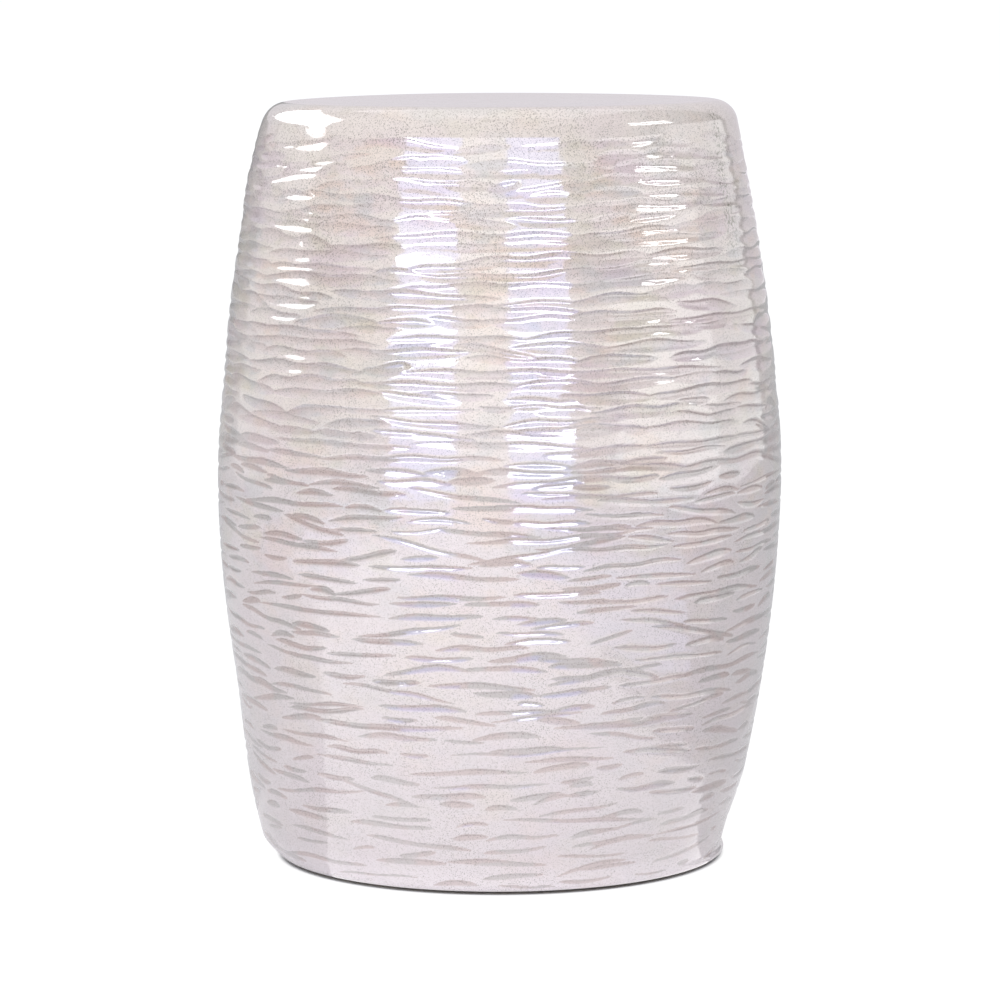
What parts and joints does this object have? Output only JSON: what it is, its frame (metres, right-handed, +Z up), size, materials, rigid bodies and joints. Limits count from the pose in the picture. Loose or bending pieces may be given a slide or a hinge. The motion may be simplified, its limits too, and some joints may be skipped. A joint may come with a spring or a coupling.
{
  "type": "garden stool",
  "caption": "Barrel-shaped ceramic garden stool with a closed flat seat, a rolled shoulder and a hollow body open at the foot.",
  "frame": {"origin": "centre of the stool at floor level, under the felt pads", "axes": "+Z up along the barrel's axis, from the floor to the seat; the stool is round, so +X and +Y are free"},
  "size_m": [0.34, 0.34, 0.457],
  "materials": {
    "pearl_glaze": "glossy pearl glaze over carved gouges",
    "bare_clay": "unglazed fired clay",
    "felt": "pressed felt"
  },
  "bodies": {
    "root": {"barrel_wall": "pearl_glaze", "seat_slab": "pearl_glaze", "seat_coil": "bare_clay", "foot_ring": "bare_clay", "floor_pad_1": "felt", "floor_pad_2": "felt", "floor_pad_3": "felt", "floor_pad_4": "felt"}
  },
  "joints": []
}
